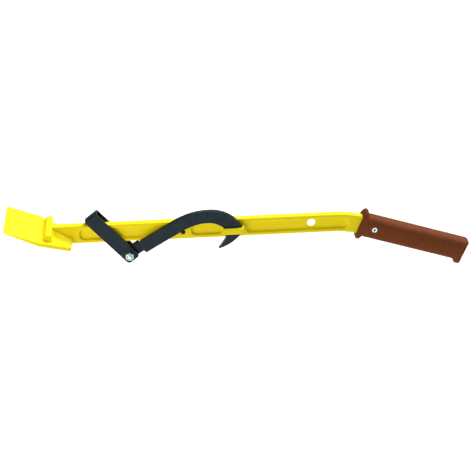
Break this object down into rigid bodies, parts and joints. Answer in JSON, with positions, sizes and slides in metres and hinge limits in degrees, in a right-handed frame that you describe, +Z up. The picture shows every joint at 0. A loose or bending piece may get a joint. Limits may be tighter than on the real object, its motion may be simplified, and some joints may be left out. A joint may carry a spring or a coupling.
{
  "type": "felling lever with turning hook",
  "caption": "Forged felling lever with a broad toe, a moulded grip, and a loose strap that carries a turning hook, put away behind its keeper.",
  "frame": {"origin": "centre of the hanging hole, on the centre line of the straight shaft", "axes": "+X along the straight shaft towards the grip, +Y along the hanging hole away from the hook side, +Z up towards the top edge of the shaft"},
  "size_m": [0.7997, 0.088, 0.1361],
  "materials": {
    "yellow_coat": "semi-gloss powder coat",
    "black_steel": "satin black coat over forged steel",
    "zinc": "bright zinc plate",
    "brown_grip": "fine-grained moulded plastic",
    "black_rubber": "matt",
    "teal_nylon": "satin nylon"
  },
  "bodies": {
    "lever_body": {"toe": "yellow_coat", "shaft": "yellow_coat", "keeper": "yellow_coat", "rest_buffer": "black_rubber", "grip": "brown_grip", "grip_rivet": "zinc"},
    "strap_body": {"strap": "black_steel", "pivot_bolt": "zinc", "spacer_washers": "zinc", "lock_nut": "zinc", "nut_insert": "teal_nylon"},
    "hook_body": {"hook": "black_steel"}
  },
  "joints": [
    {"name": "strap_tilt", "type": "hinge", "parent": "lever_body", "child": "strap_body", "pos_m": [-0.3835, 0, 0.022], "axis": [0, 1, 0], "range_deg": [0, 39]},
    {"name": "hook_swing", "type": "hinge", "parent": "strap_body", "child": "hook_body", "pos_m": [-0.3133, 0, -0.0439], "axis": [0, 1, 0], "range_deg": [0, 120]}
  ]
}
